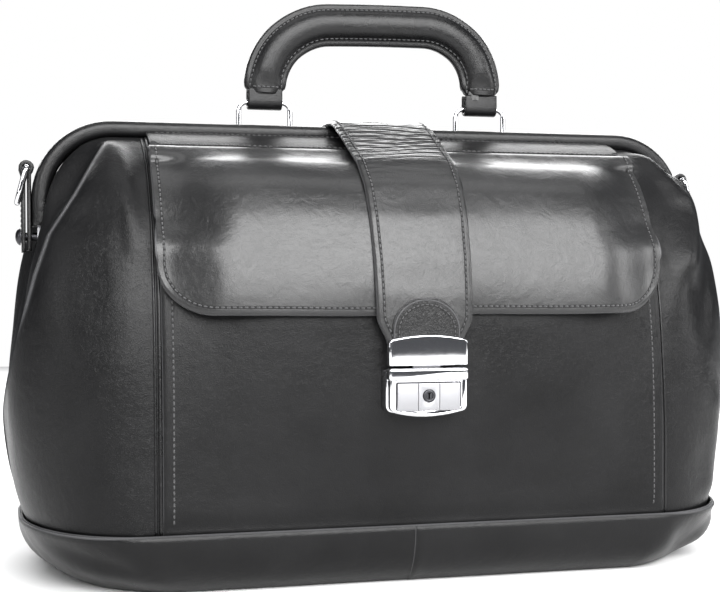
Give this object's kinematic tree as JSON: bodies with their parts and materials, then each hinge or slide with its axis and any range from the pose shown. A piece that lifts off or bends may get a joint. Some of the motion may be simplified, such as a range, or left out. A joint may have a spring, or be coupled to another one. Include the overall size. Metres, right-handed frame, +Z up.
{
  "type": "doctor bag",
  "caption": "Leather doctor bag with a hinged frame mouth, flapped front pocket, closing strap with press lock, padded handle on rings and a ring at each side.",
  "frame": {"origin": "bottom centre of the bounding box, on the surface the bag stands on", "axes": "+X to the right seen from the front, -Y out of the front, +Z up"},
  "size_m": [0.4344, 0.2219, 0.3327],
  "materials": {
    "body_leather": "smooth semi-gloss",
    "trim_leather": "smooth semi-gloss",
    "lining_fabric": "woven",
    "stiffener_board": "raw fibreboard",
    "core_padding": "matte",
    "frame_steel": "plain",
    "fitting_chrome": "polished",
    "plate_brushed": "satin"
  },
  "bodies": {
    "bag": {"bottom_panel": "body_leather", "base_board": "stiffener_board", "lining_floor": "lining_fabric", "base_band_left": "body_leather", "base_band_right": "body_leather", "front_panel": "body_leather", "back_panel": "body_leather", "side_panel_left": "body_leather", "side_panel_right": "body_leather", "lining_front": "lining_fabric", "lining_back": "lining_fabric", "lining_left": "lining_fabric", "lining_right": "lining_fabric", "pocket_front": "body_leather", "pocket_gusset_left": "body_leather", "pocket_gusset_right": "body_leather", "lock_body": "fitting_chrome", "lock_backplate": "frame_steel", "hinge_rivet_left": "fitting_chrome", "hinge_rivet_right": "fitting_chrome", "side_tab_left": "trim_leather", "side_tab_right": "trim_leather"},
    "front_frame": {"front_frame_bar": "frame_steel", "front_frame_cover": "trim_leather", "front_mouth_leather": "body_leather"},
    "back_frame": {"back_frame_bar": "frame_steel", "back_frame_cover": "trim_leather", "back_mouth_leather": "body_leather", "handle_saddle_left": "fitting_chrome", "handle_saddle_right": "fitting_chrome", "strap_tail": "body_leather"},
    "flap": {"pocket_flap": "body_leather"},
    "strap_over": {"strap_top": "body_leather"},
    "strap_end": {"strap_front": "body_leather", "strap_patch": "trim_leather", "hasp_plate": "fitting_chrome"},
    "lock_plate": {"push_plate": "plate_brushed"},
    "key": {"key_cylinder": "plate_brushed"},
    "handle_rings": {"handle_ring_left": "fitting_chrome", "handle_ring_right": "fitting_chrome"},
    "handle": {"handle_core": "core_padding", "handle_front": "trim_leather", "handle_back": "trim_leather", "handle_loop_left": "trim_leather", "handle_loop_right": "trim_leather"},
    "ring_left": {"side_ring_left": "fitting_chrome"},
    "ring_right": {"side_ring_right": "fitting_chrome"}
  },
  "joints": [
    {"name": "mouth_open", "type": "hinge", "parent": "bag", "child": "front_frame", "pos_m": [0, 0.0114, 0.19], "axis": [1, 0, 0], "range_deg": [0, 45], "deforming": ["front_mouth_leather"]},
    {"name": "back_frame_open", "type": "hinge", "parent": "bag", "child": "back_frame", "pos_m": [0, 0.0114, 0.19], "axis": [-1, 0, 0], "range_deg": [0, 45], "deforming": ["back_mouth_leather"]},
    {"name": "strap_fold_back", "type": "hinge", "parent": "back_frame", "child": "strap_over", "pos_m": [0, 0.0278, 0.258], "axis": [-1, 0, 0], "range_deg": [0, 90], "deforming": ["strap_tail", "strap_top"]},
    {"name": "strap_swing", "type": "hinge", "parent": "strap_over", "child": "strap_end", "pos_m": [0, -0.005, 0.258], "axis": [-1, 0, 0], "range_deg": [0, 144], "deforming": ["strap_front", "strap_patch"]},
    {"name": "flap_lift", "type": "hinge", "parent": "front_frame", "child": "flap", "pos_m": [0, -0.0321, 0.237], "axis": [-1, 0, 0], "range_deg": [0, 66]},
    {"name": "handle_ring_swing", "type": "hinge", "parent": "back_frame", "child": "handle_rings", "pos_m": [0, 0.0189, 0.2546], "axis": [1, 0, 0], "range_deg": [-55, 55]},
    {"name": "handle_tilt", "type": "hinge", "parent": "handle_rings", "child": "handle", "pos_m": [0, 0.0189, 0.269], "axis": [1, 0, 0], "range_deg": [-45, 45]},
    {"name": "lock_push", "type": "slide", "parent": "bag", "child": "lock_plate", "axis": [0, 0, -1], "range_m": [0, 0.002], "stiffness_N_per_m": 300},
    {"name": "key_turn", "type": "hinge", "parent": "lock_plate", "child": "key", "pos_m": [0, -0.107, 0.1045], "axis": [0, -1, 0], "range_deg": [0, 90]},
    {"name": "side_ring_left_swing", "type": "hinge", "parent": "bag", "child": "ring_left", "pos_m": [-0.2031, 0.0114, 0.229], "axis": [0, 1, 0], "range_deg": [0, 100]},
    {"name": "side_ring_right_swing", "type": "hinge", "parent": "bag", "child": "ring_right", "pos_m": [0.2031, 0.0114, 0.229], "axis": [0, -1, 0], "range_deg": [0, 100]}
  ],
  "couplings": [
    {"joint": "back_frame_open", "follows": "mouth_open", "ratio": 1},
    {"joint": "strap_fold_back", "follows": "mouth_open", "ratio": 2},
    {"joint": "strap_swing", "follows": "mouth_open", "ratio": 3.2},
    {"joint": "flap_lift", "follows": "mouth_open", "ratio": 1.45}
  ]
}
